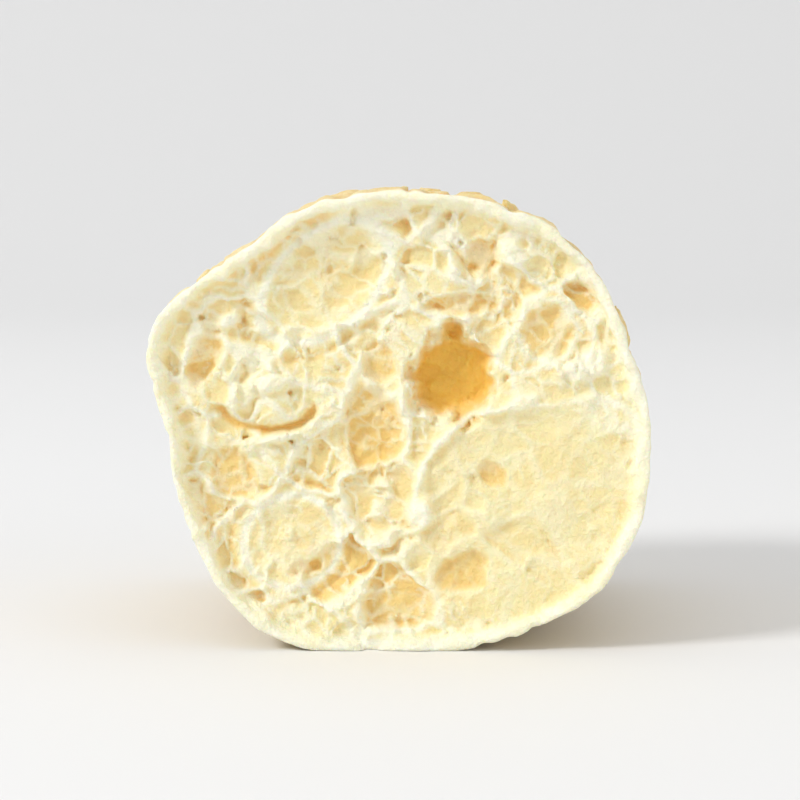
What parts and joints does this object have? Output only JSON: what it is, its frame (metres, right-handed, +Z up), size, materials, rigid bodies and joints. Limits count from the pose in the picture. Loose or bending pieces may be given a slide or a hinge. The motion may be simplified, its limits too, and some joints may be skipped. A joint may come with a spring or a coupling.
{
  "type": "dried lotus root chunk",
  "caption": "Short barrel-shaped chunk of dried, open-textured lotus root, cut square at both ends and pitted with air channels, lying on its side.",
  "frame": {"origin": "on the resting plane, under the middle of the chunk's bounding box", "axes": "+Z up, Y along the root's own length with the front cut facing -Y, X across the front cut"},
  "size_m": [0.0222, 0.0192, 0.0203],
  "materials": {
    "dried_flesh": "matte, cream with golden hollows"
  },
  "bodies": {
    "root": {"lotus_root_segment": "dried_flesh"}
  },
  "joints": []
}
